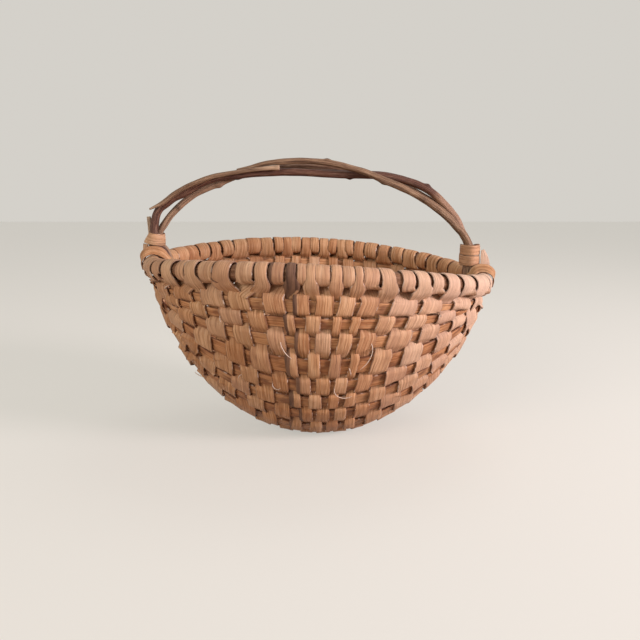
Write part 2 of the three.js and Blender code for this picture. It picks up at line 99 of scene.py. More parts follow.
class Finish:  # the nodes of a material or of the room
    def __init__(self, owner):
        self.owner = owner
        owner.use_nodes = True
        self.tree = owner.node_tree
        self.tree.nodes.clear()

    def add(self, kind, settings=None, inputs=None, output=0):
        node = self.tree.nodes.new(kind)
        for key, value in (settings or {}).items():
            if key == "stops":
                self.setStops(node.color_ramp, value)
            else:
                setattr(node, key, value)
        for key, value in (inputs or {}).items():
            if isinstance(value, Link):
                self.tree.links.new(value.socket, node.inputs[key])
            else:
                node.inputs[key].default_value = value
        return Link(self, node.outputs[output]) if node.outputs else None

    def setStops(self, ramp, stops):
        stops = list(stops)
        while len(ramp.elements) < len(stops):
            ramp.elements.new(0.5)
        for element, (position, colour) in zip(ramp.elements, stops):
            element.position = position
            element.color = (*colour, 1)

    def parts(self, name):  # the three numbers of a vector kept on the mesh
        vector = self.add("ShaderNodeAttribute", {"attribute_name": name}, output="Vector")
        return [self.add("ShaderNodeSeparateXYZ", inputs={0: vector}, output=i) for i in range(3)]

    def grain(self, place, pattern):  # noise that follows the strip, other on each strip
        along, across, chance = place
        parts = {
            0: along * pattern["along"],
            1: across * pattern["across"],
            2: chance * pattern["step"],
        }
        inputs = {
            "Vector": self.add("ShaderNodeCombineXYZ", inputs=parts),
            "Scale": 1,
            "Detail": pattern.get("detail", 2),
            "Roughness": pattern.get("roughness", 0.5),
        }
        return self.add("ShaderNodeTexNoise", inputs=inputs)

    def tones(self, value, places, look, names=("deep", "middle", "light")):
        stops = zip(places, [look[name] for name in names])
        return self.add("ShaderNodeValToRGB", {"stops": stops}, {0: value})

    def mix(self, share, a, b, blend="MIX"):
        def colour(value):
            return value if isinstance(value, Link) else (*value, 1)

        settings = {"data_type": "RGBA", "blend_type": blend}
        return self.add("ShaderNodeMix", settings, {0: share, 6: colour(a), 7: colour(b)}, output=2)

    def bump(self, height, distance):
        return self.add("ShaderNodeBump", inputs={"Height": height, "Distance": distance})

    def seen(self):  # 1 where it is looked at, 0 where it only lights other things
        camera, glossy, clear = [self.add("ShaderNodeLightPath", output=ray) for ray in seenRays]
        return camera + glossy + clear

    def surface(self, **inputs):
        names = {
            "colour": "Base Color",
            "roughness": "Roughness",
            "normal": "Normal",
            "specular": "Specular IOR Level",
            "glow": "Emission Color",
            "glowStrength": "Emission Strength",
        }
        sockets = {names[key]: value for key, value in inputs.items()}
        shader = self.add("ShaderNodeBsdfPrincipled", inputs=sockets)
        self.add("ShaderNodeOutputMaterial", inputs={"Surface": shader})
        return self.owner


# Painted shade darkens the edges of every strip and, as dark patches, the ribs
# Split wood: long fibres along the strip, darker pores, pale torn edges, bark where "bark" says.
# A pattern gives its scale along and across the strip and the step from one strip to the next
splintGrain = {
    "broad": {"along": 0.03, "across": 0.8, "step": 41, "detail": 3, "roughness": 0.6},
    "broadShare": 0.62,
    "fine": {"along": 0.09, "across": 3.2, "step": 73},
    "fineShare": 0.38,
    "tones": (0.37, 0.47, 0.59),
    "patch": {"across": 0.12, "step": 19},
    "patchEdge": (0.42, 0.68),
    "chanceEdge": (0.15, 0.95),
    "crack": {"along": 0.012, "across": 1.15, "step": 57, "detail": 1},
    "crackHeight": 0.25,
    # band along the strip edges: darkened as painted shade, and where tears lie
    "edge": (0.86, 0.99),
    "tear": {"along": 0.22, "across": 0.3, "step": 11},
    "tearEdge": (0.56, 0.65),
    "bark": {"along": 0.05, "across": 0.5, "step": 29, "detail": 4},
    "barkTones": (0.35, 0.65),
    "barkEdge": (-0.12, 0.12),
    "barkReach": (2.4, 1.2, 1.2),  # how far its share, its start and its noise move the edge
    "barkFrom": 0.1,
    "smoother": 0.25,  # how much the pale fibres lower the roughness
    "barkRoughness": 0.1,
    "specular": 0.22,
}


def splintFinish(name, look):
    grain = splintGrain
    finish = Finish(bpy.data.materials.new(name))
    along, across, share = finish.parts("strip")
    bark, pale, chance = finish.parts("looks")
    place = along, across, chance

    broad = finish.grain(place, grain["broad"])
    fine = finish.grain(place, grain["fine"])
    fibre = broad * grain["broadShare"] + fine * grain["fineShare"]
    wood = finish.tones(fibre, grain["tones"], look)
    # Dark patches: real stains on the weavers; on the ribs, darker and denser, painted shade where
    # the strips shade the ribs
    patch = finish.grain(place, {"along": look["patchScale"], **grain["patch"]})
    stainedAndShaded = patch.between(*grain["patchEdge"]) * look["patch"]
    wood = finish.mix(stainedAndShaded, wood, look["stainAndShade"])
    darker = chance.between(*grain["chanceEdge"]) * look["spread"]
    wood = finish.mix(darker, wood, look["other"], "MULTIPLY")

    line = finish.grain(place, grain["crack"])
    crack = 1 - abs(line - 0.5).between(0.0, look["crack"])
    wood = finish.mix(crack * look["crackDepth"], wood, look["pore"])
    # Painted shade: the edges and sides of every strip are darkened towards the pore colour, as
    # shade between the strips
    edge = abs(share).between(*grain["edge"])
    wood = finish.mix(edge * look["edge"], wood, look["pore"])
    tear = finish.grain(place, grain["tear"]).between(*grain["tearEdge"])
    wood = finish.mix(edge * tear * look["tear"], wood, look["torn"])
    # The pale share moves the wood towards the torn colour: painted light at the right end and on
    # the front wraps, real paleness in torn fibres and bands
    wood = finish.mix(pale, wood, look["torn"])

    skin = finish.grain(place, grain["bark"])
    skinColour = finish.tones(skin, grain["barkTones"], look, ("barkDeep", "barkLight"))
    spread, start, uneven = grain["barkReach"]  # bark starts at one edge and spreads with its share
    reach = bark * spread - start - share + (skin - 0.5) * uneven
    cover = reach.between(*grain["barkEdge"]) * bark.between(0.0, grain["barkFrom"])
    wood = finish.mix(cover, wood, skinColour)
    return finish.surface(
        colour=wood,
        roughness=look["roughness"] - fibre * grain["smoother"] + cover * grain["barkRoughness"],
        normal=finish.bump(fibre - crack * grain["crackHeight"], look["relief"]),
        specular=grain["specular"],
    )


weaverLook = {
    "deep": (0.33, 0.152, 0.064),
    "middle": (0.55, 0.287, 0.136),
    "light": (0.73, 0.455, 0.262),
    "stainAndShade": (0.4, 0.19, 0.09),
    "other": (0.86, 0.75, 0.68),
    "pore": (0.12, 0.045, 0.025),
    # colour of torn wood, also the colour that the painted light on the right end and the front
    # wraps moves towards
    "torn": (0.84, 0.68, 0.56),
    "barkDeep": (0.09, 0.045, 0.03),
    "barkLight": (0.24, 0.13, 0.08),
    "patch": 0.5,
    "patchScale": 0.05,
    "spread": 0.85,
    "crack": 0.014,
    "crackDepth": 0.42,
    # how strongly the strip edges are darkened by painted shade
    "edge": 0.72,
    "tear": 0.7,
    "roughness": 0.68,
    "relief": 0.0006,
}
ribLook = dict(weaverLook)
ribLook.update({
    "deep": (0.36, 0.155, 0.065),
    "middle": (0.56, 0.275, 0.125),
    "light": (0.69, 0.39, 0.2),
    # painted shade: dark patches on the ribs stand in for rib surfaces shaded between the strips
    "stainAndShade": (0.2, 0.08, 0.04),
    "patch": 0.8,
    "patchScale": 0.07,
    "tear": 0.4,
})
weaverFinish = splintFinish("weaverSplint", weaverLook)
ribFinish = splintFinish("ribSplint", ribLook)
print("finishes of the splints made")


# Twigs: bark with ridges along it, scuffed places and dark cracks
twigGrain = {
    "ridge": {"along": 0.03, "across": 1.3, "step": 41, "detail": 3, "roughness": 0.6},
    "ridgeShare": 0.65,
    "fine": {"along": 0.2, "across": 4.0, "step": 13},
    "fineShare": 0.35,
    "tones": (0.36, 0.5, 0.64),
    "scuff": {"along": 0.06, "across": 0.35, "step": 23, "detail": 3},
    "scuffEdge": (0.55, 0.7),
    "crack": {"along": 0.015, "across": 0.9, "step": 31, "detail": 1},
    "crackWidth": 0.02,
    "crackDepth": 0.7,
    "crackHeight": 0.4,
    "smoother": 0.2,
    "relief": 0.0006,
    "specular": 0.28,
}


def twigFinish(name, look):
    grain = twigGrain
    finish = Finish(bpy.data.materials.new(name))
    along, across = finish.parts("strip")[:2]
    bark, pale, chance = finish.parts("looks")
    place = along, across, chance

    ridge = finish.grain(place, grain["ridge"])
    fine = finish.grain(place, grain["fine"])
    tone = ridge * grain["ridgeShare"] + fine * grain["fineShare"]
    wood = finish.tones(tone, grain["tones"], look)
    scuff = finish.grain(place, grain["scuff"]).between(*grain["scuffEdge"])
    wood = finish.mix(scuff * look["scuff"], wood, look["bare"])
    wood = finish.mix(pale, wood, look["bare"])
    line = finish.grain(place, grain["crack"])
    crack = 1 - abs(line - 0.5).between(0.0, grain["crackWidth"])
    wood = finish.mix(crack * grain["crackDepth"], wood, look["pore"])
    wood = finish.mix(bark, wood, look["pore"])
    return finish.surface(
        colour=wood,
        roughness=look["roughness"] - tone * grain["smoother"],
        normal=finish.bump(tone - crack * grain["crackHeight"], grain["relief"]),
        specular=grain["specular"],
    )


darkLook = {
    "deep": (0.05, 0.02, 0.014),
    "middle": (0.125, 0.052, 0.034),
    "light": (0.23, 0.12, 0.08),
    "bare": (0.42, 0.25, 0.16),
    "pore": (0.02, 0.01, 0.008),
    "scuff": 0.3,
    "roughness": 0.6,
}
tanLook = {
    "deep": (0.11, 0.055, 0.032),
    "middle": (0.25, 0.145, 0.085),
    "light": (0.42, 0.27, 0.17),
    "bare": (0.6, 0.41, 0.27),
    "pore": (0.05, 0.025, 0.016),
    "scuff": 0.45,
    "roughness": 0.7,
}
lightLook = {
    "deep": (0.1, 0.045, 0.026),
    "middle": (0.22, 0.115, 0.068),
    "light": (0.37, 0.225, 0.145),
    "bare": (0.52, 0.34, 0.22),
    "pore": (0.05, 0.025, 0.018),
    "scuff": 0.5,
    "roughness": 0.66,
}
paleLook = {
    "deep": (0.32, 0.2, 0.13),
    "middle": (0.5, 0.35, 0.24),
    "light": (0.64, 0.48, 0.35),
    "bare": (0.72, 0.56, 0.42),
    "pore": (0.14, 0.08, 0.05),
    "scuff": 0.4,
    "roughness": 0.7,
}
rodLook = {
    "deep": (0.13, 0.055, 0.028),
    "middle": (0.26, 0.125, 0.065),
    "light": (0.38, 0.2, 0.11),
    "bare": (0.45, 0.26, 0.15),
    "pore": (0.05, 0.02, 0.012),
    "scuff": 0.3,
    "roughness": 0.55,
}
darkFinish = twigFinish("darkTwigBark", darkLook)
tanFinish = twigFinish("tanTwigBark", tanLook)
lightFinish = twigFinish("brownTwigBark", lightLook)
paleFinish = twigFinish("paleTwig", paleLook)
rodFinish = twigFinish("rimRodWood", rodLook)
print("finishes of the twigs made")


# Mesh of one or more strands, each made of rings of points in millimetres. A ring has its points,
# and for each of them the place on the strip (along, across, share of the half width from -1 to 1)
# and the looks (bark, pale, chance)
millimetre = 0.001


def addObject(name, data):
    item = bpy.data.objects.new(name, data)
    bpy.context.scene.collection.objects.link(item)
    return item


def buildMesh(name, strands, closed, finish, slot, nodes):
    vertices, faces = [], []
    for rings in strands:
        size = len(rings[0]["points"])
        start = len(vertices)
        vertices += [point * millimetre for ring in rings for point in ring["points"]]
        last = len(rings) if closed else len(rings) - 1
        for i in range(last):
            near = start + i * size
            far = start + (i + 1) % len(rings) * size
            for j in range(size):
                after = (j + 1) % size
                faces.append((near + j, near + after, far + after, far + j))
        if not closed:
            end = start + (len(rings) - 1) * size
            faces.append(tuple(reversed(range(start, start + size))))
            faces.append(tuple(range(end, end + size)))
    mesh = bpy.data.meshes.new(name)
    mesh.from_pydata(vertices, [], faces)
    for key in ("strip", "looks"):
        attribute = mesh.attributes.new(key, "FLOAT_VECTOR", "POINT")
        values = [place for rings in strands for ring in rings for place in ring[key]]
        attribute.data.foreach_set("vector", [number for place in values for number in place])
    mesh.polygons.foreach_set("use_smooth", [True] * len(mesh.polygons))
    mesh.materials.append(finish)
    mesh.update()
    piece = addObject(name, mesh)
    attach(piece, "root")
    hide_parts(*nodes)


def makeStation(point, side, width, looks):  # "side" points across the strip
    return {"point": point, "side": side, "width": width, "looks": looks}


# Smooth curve through stations, in steps of about "spacing"
shortestSpan = 0.001


def smoothStations(stations, spacing):
    points = [station["point"] for station in stations]
    spans = len(points) - 1
    knots = [0.0]
    for before, here in zip(points, points[1:]):
        knots.append(knots[-1] + max((here - before).length, shortestSpan))
    rates = [(points[i + 1] - points[i]) / (knots[i + 1] - knots[i]) for i in range(spans)]
    slopes = [rates[0]]
    for i in range(1, spans):
        before = knots[i] - knots[i - 1]
        after = knots[i + 1] - knots[i]
        slopes.append((rates[i - 1] * after + rates[i] * before) / (before + after))
    slopes.append(rates[-1])
    smooth = []
    for i in range(spans):
        span = knots[i + 1] - knots[i]
        count = max(1, math.ceil(span / spacing))
        last = i == spans - 1
        for k in range(count + 1 if last else count):
            t = k / count
            point = (
                points[i] * (2 * t**3 - 3 * t**2 + 1)
                + slopes[i] * span * (t**3 - 2 * t**2 + t)
                + points[i + 1] * (3 * t**2 - 2 * t**3)
                + slopes[i + 1] * span * (t**3 - t**2)
            )
            one, other = stations[i], stations[i + 1]
            smooth.append({
                "point": point,
                "side": one["side"].lerp(other["side"], t).normalized(),
                "width": lerp(one["width"], other["width"], t),
                "looks": [lerp(a, b, t) for a, b in zip(one["looks"], other["looks"])],
                "along": knots[i] + t * span,
            })
    return smooth


def tangentAt(smooth, i):
    before = smooth[max(i - 1, 0)]["point"]
    after = smooth[min(i + 1, len(smooth) - 1)]["point"]
    return (after - before).normalized()


# Strip with rounded edges: shares of the half width, and of the half thickness
stripSection = [
    (-1.0, 0.0), (-0.975, 0.7), (-0.9, 1.0), (-0.45, 1.0), (0.0, 1.0), (0.45, 1.0), (0.9, 1.0),
    (0.975, 0.7), (1.0, 0.0), (0.975, -0.7), (0.9, -1.0), (0.0, -1.0), (-0.9, -1.0), (-0.975, -0.7),
]
stripWaves = {"width": 14, "rag": 1.7, "lift": 16, "twist": 25}  # lengths of the unevenness


# "wild" says how uneven the strip is: its twist, its width, its ragged edges, its lift and crown
def stripRings(stations, thickness, seed, wild):
    def uneven(kind, along, step=0):
        return wild[kind] * wave(along, stripWaves[kind], seed + step)

    smooth = smoothStations(stations, wild["spacing"])
    rings = []
    for i, station in enumerate(smooth):
        along = station["along"]
        tangent = tangentAt(smooth, i)
        side = station["side"] - tangent * station["side"].dot(tangent)
        side = Matrix.Rotation(uneven("twist", along, 5), 3, tangent) @ side.normalized()
        lift = tangent.cross(side).normalized()
        half = station["width"] / 2
        left = half * (1 + uneven("width", along)) + uneven("rag", along, 1)
        right = half * (1 + uneven("width", along, 2)) + uneven("rag", along, 3)
        centre = station["point"] + lift * uneven("lift", along, 4)
        points, places = [], []
        for across, over in stripSection:
            reach = across * (right if across > 0 else left)
            crown = wild["crown"] * (1 - across * across)
            point = centre + side * reach + lift * (over * thickness / 2 + crown)
            point.z = max(point.z, 0)  # worn flat where it stands on the floor
            points.append(point)
            places.append((along, reach, across))
        looks = [station["looks"]] * len(points)
        rings.append({"points": points, "strip": places, "looks": looks})
    return rings


# Round strand along a smooth curve: twigs, and torn fibres. "radii" are given with the share
# of the length where they hold, and knots swell one side of it
barkWaves = {
    "along": 0.03,  # of the ridges, per millimetre
    "around": 1.3,
    "seedStep": 3.7,
    "lump": 9,
    "lumpSeed": 0.7,
    "girth": 3.2,  # usual radius, for the grain
    "chanceStep": 0.37,
}


def radiusAlong(radii, share):
    for (start, first), (end, last) in zip(radii, radii[1:]):
        if share <= end:
            return lerp(first, last, (share - start) / (end - start))
    return radii[-1][1]


def tubeRings(points, seed, twig):
    stations = [makeStation(point, up, 0, (0, 0, 0)) for point in points]
    smooth = smoothStations(stations, twig["spacing"])
    total = smooth[-1]["along"]
    side = Vector((0, 1, 0))
    rings = []
    for i, station in enumerate(smooth):
        tangent = tangentAt(smooth, i)
        side = (side - tangent * side.dot(tangent)).normalized()
        over = tangent.cross(side)
        along = station["along"]
        share = along / total
        ring, places, looks = [], [], []
        for j in range(twig["sides"]):
            turn = j / twig["sides"] * 2 * math.pi
            way = side * math.cos(turn) + over * math.sin(turn)
            ridgePlace = along * barkWaves["along"], turn * barkWaves["around"]
            ridge = noise.noise(Vector((*ridgePlace, seed * barkWaves["seedStep"])))
            lump = wave(along, barkWaves["lump"], seed + barkWaves["lumpSeed"])
            uneven = 1 + twig["ridge"] * ridge + twig["lump"] * lump
            radius = radiusAlong(twig["radii"], share) * uneven
            dark, pale = 0.0, twig["paleAt"](share)
            for knot in twig["knots"]:
                gap = (along - knot["at"] * total) / knot["length"]
                facing = max(0, math.cos(turn - math.radians(knot["turn"])))
                swell = math.exp(-gap * gap) * facing**2
                radius += knot["height"] * swell
                dark = max(dark, knot["dark"] * swell)
            ring.append(station["point"] + way * radius)
            places.append((along, turn * barkWaves["girth"], 0))
            looks.append((dark, pale, (seed * barkWaves["chanceStep"]) % 1))
        rings.append({"points": ring, "strip": places, "looks": looks})
    return rings


# Rim: an oval hoop, higher at the left end. "along" is the angle along it, from the left end
rim = {
    "length": 300,
    "width": 244,
    "height": 145.2,
    "roll": 7.3,
    "saddle": 5.9,
    "rodRadius": 6,
    "wrapRadius": 7.2,
    "outerRadius": 8.212,
    "shift": 0.4038,
}
halfLength = rim["length"] / 2 - rim["outerRadius"]
halfWidth = rim["width"] / 2 - rim["outerRadius"]


def rimCentre(along):
    rise = rim["roll"] * math.cos(along) - rim["saddle"] * math.cos(2 * along)
    return Vector((
        rim["shift"] - halfLength * math.cos(along),
        -halfWidth * math.sin(along),
        rim["height"] + rise,
    ))


def rimOutward(along):
    return Vector((-halfWidth * math.cos(along), -halfLength * math.sin(along), 0)).normalized()


def rimTangent(along):
    step = 0.001
    return (rimCentre(along + step) - rimCentre(along - step)).normalized()


# Middle surface of the bowl: "along" from the left end to the right one, "around" from the
# front rim under the bowl to the back rim
bowl = {
    "fullness": 1.2,
    "settle": 4,  # height over which the bottom is worn flatter
    "floor": 1.9,  # from the floor to the middle surface
}


def bowlPoint(along, around):
    sweep = math.sin(along)
    depth = max(sweep * math.sin(around), 0) ** bowl["fullness"]
    rise = (rimCentre(along).z - bowl["floor"] + bowl["settle"]) * (1 - depth)
    settled = rise - bowl["settle"] * (1 - math.exp(-rise / bowl["settle"]))
    return Vector((
        rim["shift"] - halfLength * math.cos(along),
        -halfWidth * sweep * math.cos(around),
        bowl["floor"] + settled,
    ))


def bowlOutward(along, around):
    step = 0.002
    lengthwise = bowlPoint(along + step, around) - bowlPoint(along - step, around)
    across = bowlPoint(along, around + step) - bowlPoint(along, around - step)
    return across.cross(lengthwise).normalized()


# Rim rod, seen in the gaps between the wraps
rod = {
    "sides": 20,
    "rings": 180,
    "ringStep": 4.5,  # along the rim, for the grain
    "uneven": 0.03,
    "waveStep": 3,
    "waveLength": 20,
    "waves": 5,  # around the rod
    "chance": 0.4,
}
rodRings = []
for i in range(rod["rings"]):
    along = i / rod["rings"] * 2 * math.pi
    centre, tangent = rimCentre(along), rimTangent(along)
    outward = rimOutward(along)
    over = tangent.cross(outward).normalized()
    points, places = [], []
    for j in range(rod["sides"]):
        turn = j / rod["sides"] * 2 * math.pi
        bump = wave(i * rod["waveStep"], rod["waveLength"], j % rod["waves"])
        radius = rim["rodRadius"] * (1 + rod["uneven"] * bump)
        points.append(centre + outward * radius * math.cos(turn) + over * radius * math.sin(turn))
        places.append((i * rod["ringStep"], turn * radius, 0))
    looks = [(0, 0, rod["chance"])] * rod["sides"]
    rodRings.append({"points": points, "strip": places, "looks": looks})
buildMesh("rimRod", [rodRings], True, rodFinish, "rod", ["rim_rod"])
print("rim rod made")


# Ribs, from the front rim down: degrees below the rim, width at the middle, and whether they
# reach the ends of the bowl
ribSizes = [
    (12.1, 10.2, True),  # at the back this one lies closer to the rim
    (17.6, 8.6, False),
    (24.1, 10.5, False),
    (32.4, 15, True),
    (40.2, 12, False),
    (47.4, 11.5, True),
    (54.8, 12.5, False),
    (66.3, 15, True),
    (78.2, 15, False),
]
ribWild = {
    "spacing": 2.2,
    "twist": 0.03,
    "width": 0.05,
    "rag": 0.12,
    "lift": 0.1,
    "crown": 0.0,
    "seed": 0.5,
}
ribSettings = {
    "thickness": 1.6,
    "reach": 10,  # degrees from the end of the rim to the tips
    "clearance": 11,  # depth below the rim at which the first rib starts
    "weaveRoom": 2.9,  # left between two ribs for the strips
    "tipWidth": 1.8,
    "shortRows": 3,  # at each end, that the short ribs don't reach
    "keelWidth": 15,
    "backFirst": 9.8,  # degrees below the back rim
    "chanceStep": 0.618,
    "chanceStart": 0.1,
}


def addRib(angle, width, long, name):
    ribs.append({"angle": angle, "width": width, "long": long, "name": name})


ribs = []
for i, (angle, width, long) in enumerate(ribSizes):
    addRib(angle, width, long, f"rib_front_{i + 1}")
addRib(90, ribSettings["keelWidth"], True, "rib_keel")
for i, (angle, width, long) in reversed(list(enumerate(ribSizes))):
    addRib(180 - (angle if i else ribSettings["backFirst"]), width, long, f"rib_back_{i + 1}")


def ribAround(rib, along):  # near the ends the ribs fan out below the rim
    depth = rimCentre(along).z - bowl["floor"] + bowl["settle"]
    edge = (ribSettings["clearance"] / depth) ** (1 / bowl["fullness"])
    firstHere = math.asin(clamp(edge / math.sin(along), 0, 1))
    firstMiddle = math.asin(edge)
    down = math.radians(min(rib["angle"], 180 - rib["angle"]))
    share = (down - firstMiddle) / (math.pi / 2 - firstMiddle)
    around = firstHere + (math.pi / 2 - firstHere) * share
    return math.pi - around if rib["angle"] > 90 else around


def ribPoint(rib, along):
    return bowlPoint(along, ribAround(rib, along))


# Rows of the weavers, spaced along the rim: close in the middle, wider towards the ends
rowSettings = {
    "count": 28,
    "margin": 31,  # from the end of the rim to the first row
    "middlePitch": 8.7,
    "sidePitch": 13.6,
    "middleShare": 46,  # half the length with the close pitch
    "step": 0.5,  # in which the pitch is added up
}
rimSamples = 720
rimLengths = [0.0]
for i in range(rimSamples):
    here, there = [rimCentre(k / rimSamples * math.pi) for k in (i, i + 1)]
    rimLengths.append(rimLengths[-1] + (there - here).length)
rimSide = rimLengths[-1]


def alongAtLength(length):
    i = next(i for i in range(1, rimSamples + 1) if rimLengths[i] >= length or i == rimSamples)
    span = rimLengths[i] - rimLengths[i - 1]
    return (i - 1 + (length - rimLengths[i - 1]) / span) / rimSamples * math.pi


def pitchWish(length):
    near = abs(length - rimSide / 2) < rowSettings["middleShare"]
    return rowSettings["middlePitch"] if near else rowSettings["sidePitch"]


def placeRows():
    margin, count, step = [rowSettings[key] for key in ("margin", "count", "step")]
    places = [margin + i * step for i in range(math.ceil((rimSide - 2 * margin) / step))]
    share = sum(step / pitchWish(place) for place in places) / (count - 1)
    lengths, total = [], 0.0
    for place in places:
        if total >= len(lengths) * share:
            lengths.append(place)
        total += step / pitchWish(place)
    while len(lengths) < count:
        lengths.append(rimSide - margin)
    rows = []
    for i, length in enumerate(lengths):
        before = lengths[i - 1] if i else length - rowSettings["sidePitch"]
        after = lengths[i + 1] if i + 1 < count else length + rowSettings["sidePitch"]
        rows.append({
            "index": i,
            "length": length,
            "along": alongAtLength(length),
            "pitch": min(length - before, after - length),
        })
    return rows


# Weavers: each takes two rows, joined by a turn round the front rim
weaver = {
    "thickness": 1.1,
    "lift": 1.6,  # from the middle of a rib to the middle of the strip over it
    "arch": 0.55,  # more lift over the middle of a rib
    "fitGap": 0.8,
    "passRadius": 9.0,
    "enterTurn": 238,
    "wrapStart": 196,
    "wrapEnd": -42,
    "wrapSteps": 6,
    "wrapOver": 0.35,  # every other wrap lies this much higher
    "tuckTurn": -78,
    "frontWidth": 1.1,  # share of the pitch below the front rim
    "lowWidth": 1.08,  # under the bowl
    "backWidth": 1.0,  # at the back rim
    "backVary": 0.2,
    "backShift": 1.2,
    "passWidth": 1.3,  # where a strip passes between the rim and the first rib
    "firstWidth": 1.12,  # at the first rib
    "outsideWidth": 1.13,
    "insideWidth": 0.92,
    "wrapLean": 0.014,
    "bow": 9.5,  # how far the rows bow towards the middle, under the bowl
    "lean": 0.3,  # slope where they pass over a rib
    "insideLean": -0.6,  # share of it where they pass behind a rib
    "leanFull": 3,  # reached at one third of the way to the ends
    "leftShare": 0.8,  # of the bow and the lean, in the left half
    "traitFade": 0.7,  # how the traits of a row fade below the front rim
    "stray": 3,  # how far a strip wanders beside its row
    "looser": 3,  # how fast the stray grows below the rim, from its start
    "looseStart": -0.2,
    "looseLeast": 0.15,
    "vary": 0.22,  # how much its width changes
}
# Looks of the strips: the pale entries are painted light on the right end and the front wraps;
# patchy places and bark are the strips' own colour
wearAndLight = {
    # painted light: how much paler the strips at the right end are made
    "pale": 0.34,  # of the strips at the right end
    "rightLightFrom": 17,  # row
    "rightLightRows": 8,
    "rightLightLow": 1.3,  # where the pale part ends, 1 being under the keel
    # painted light: extra paleness of the front wraps, which the back wraps don't get
    "wrapLight": 0.12,
    "patchy": 0.24,  # how much paler single places on a strip are
    "most": 0.7,
    "barkFade": 4,
    "barkLow": 0.85,
    "chanceStep": 0.377,
    "chanceStart": 0.21,
}
rowWaves = {  # step from row to row, length and seed of the waves at the rim
    "backShift": (5, 7, 3.3),
    "backWidth": (3.7, 1.9, 8.1),
    "frontLean": (5, 4, 2.2),
    "backLean": (5, 4, 3.2),
}
bowlWaves = {"stray": (26, 0.4), "width": (20, 9.4), "patchy": (9, 5.5)}  # degrees, seed

# What the photograph shows of single rows at the front, in millimetres: how far the wrap and
# the strip below it lie beside the even spacing, and how wide they are. Three rows have bark
rowTraits = {
    1: {"wrapShift": 0.8, "wrapWidth": 15},
    2: {"wrapShift": 1.5, "wrapWidth": 15.5, "backWidth": 0.8},
    3: {"wrapShift": 3.4, "wrapWidth": 13.6, "backWidth": 0.84},
    4: {"wrapShift": 4.6, "wrapWidth": 9.8, "backWidth": 0.78},
    5: {"wrapShift": 0.9, "wrapWidth": 11, "backWidth": 0.86},
    6: {"wrapShift": -0.4, "wrapWidth": 13.2},
    7: {"wrapShift": -1.5, "wrapWidth": 13.8},
    8: {"wrapShift": 1.6, "wrapWidth": 13.4, "bowlShift": -7, "bowlWidth": 12},
    9: {"wrapShift": 1.6, "wrapWidth": 9.6, "bowlShift": -7, "bowlWidth": 13.5},
    10: {"wrapShift": 3.6, "wrapWidth": 11, "bowlShift": -1, "bowlWidth": 12.4},
    11: {"wrapShift": 4.2, "wrapWidth": 7, "bowlShift": 0.6, "bowlWidth": 7.5},
    12: {"wrapShift": 2.4, "wrapWidth": 7.9, "bowlShift": 0.5, "bowlWidth": 10.4},
    13: {"wrapShift": -0.6, "wrapWidth": 6.2, "bowlWidth": 9},
    14: {"wrapShift": -2.1, "wrapWidth": 11.2, "bowlShift": -0.5, "bowlWidth": 10.4},
    15: {"wrapShift": -1.5, "wrapWidth": 7.8, "bowlWidth": 6.5},
    16: {"wrapShift": -2.4, "wrapWidth": 8.8, "bowlShift": -3, "bowlWidth": 9.6},
    17: {"wrapShift": -4.8, "wrapWidth": 5.6, "bowlShift": -5.5, "bowlWidth": 6},
    18: {"wrapShift": -5, "wrapWidth": 12, "bowlShift": -4.4, "bowlWidth": 12},
    19: {"wrapShift": -4.5, "wrapWidth": 11, "bowlShift": -2.4, "bowlWidth": 12},
    20: {"wrapShift": -3.6, "wrapWidth": 10.4, "bowlShift": -3.2, "backWidth": 0.82},
    21: {"wrapShift": -6, "wrapWidth": 11, "bowlShift": -5.4, "backWidth": 0.8},
    22: {"wrapShift": -8, "wrapWidth": 10.4, "bowlShift": -9, "backWidth": 0.84},
    23: {"wrapShift": -7, "wrapWidth": 13.5, "bowlShift": -6.4, "backWidth": 0.76},
    24: {"wrapShift": -3, "wrapWidth": 15, "bowlShift": -3.4, "backWidth": 0.82},
    25: {"wrapShift": 1, "wrapWidth": 14, "bowlShift": 3},
    26: {"bowlShift": -4},
}

barkTraits = {
    10: {"bark": 0.3},
    11: {"bark": 1, "bowlBark": 0.4},
    12: {"bark": 0.1, "bowlBark": 0.3},
}

rows = placeRows()
for row in rows:
    row.update({
        "wrapShift": 0,
        "wrapWidth": row["pitch"],
        "bowlShift": 0,
        "bowlWidth": row["pitch"] * weaver["frontWidth"],
        "backWidth": weaver["backWidth"],
        "bark": 0,
        "bowlBark": 0,
    })
    for traits in (rowTraits, barkTraits):
        row.update(traits.get(row["index"], {}))
firstBorder = alongAtLength(rowSettings["margin"] - rowSettings["sidePitch"] / 2)
borders = [firstBorder]
borders += [(one["along"] + other["along"]) / 2 for one, other in zip(rows, rows[1:])]
borders.append(math.pi - firstBorder)


def crosses(rib, row):
    short = ribSettings["shortRows"]
    return rib["long"] or short <= row["index"] < rowSettings["count"] - short


def shortOnesAt(along):
    short = ribSettings["shortRows"]
    slack = 0.001
    return borders[short] - slack <= along <= borders[len(borders) - 1 - short] + slack


def ribWidthAt(rib, along):
    here = ribPoint(rib, along)
    others = [o for o in ribs if o is not rib and (o["long"] or shortOnesAt(along))]
    nearest = min((here - ribPoint(other, along)).length for other in others)
    width = min(rib["width"] * math.sin(along), nearest - ribSettings["weaveRoom"])
    return max(ribSettings["tipWidth"], width)


def ribStation(rib, along, looks):
    step = 0.002
    point = ribPoint(rib, along)
    tangent = (ribPoint(rib, along + step) - ribPoint(rib, along - step)).normalized()
    outward = bowlOutward(along, ribAround(rib, along))
    side = outward.cross(tangent).normalized()
    return makeStation(point, side, ribWidthAt(rib, along), looks)


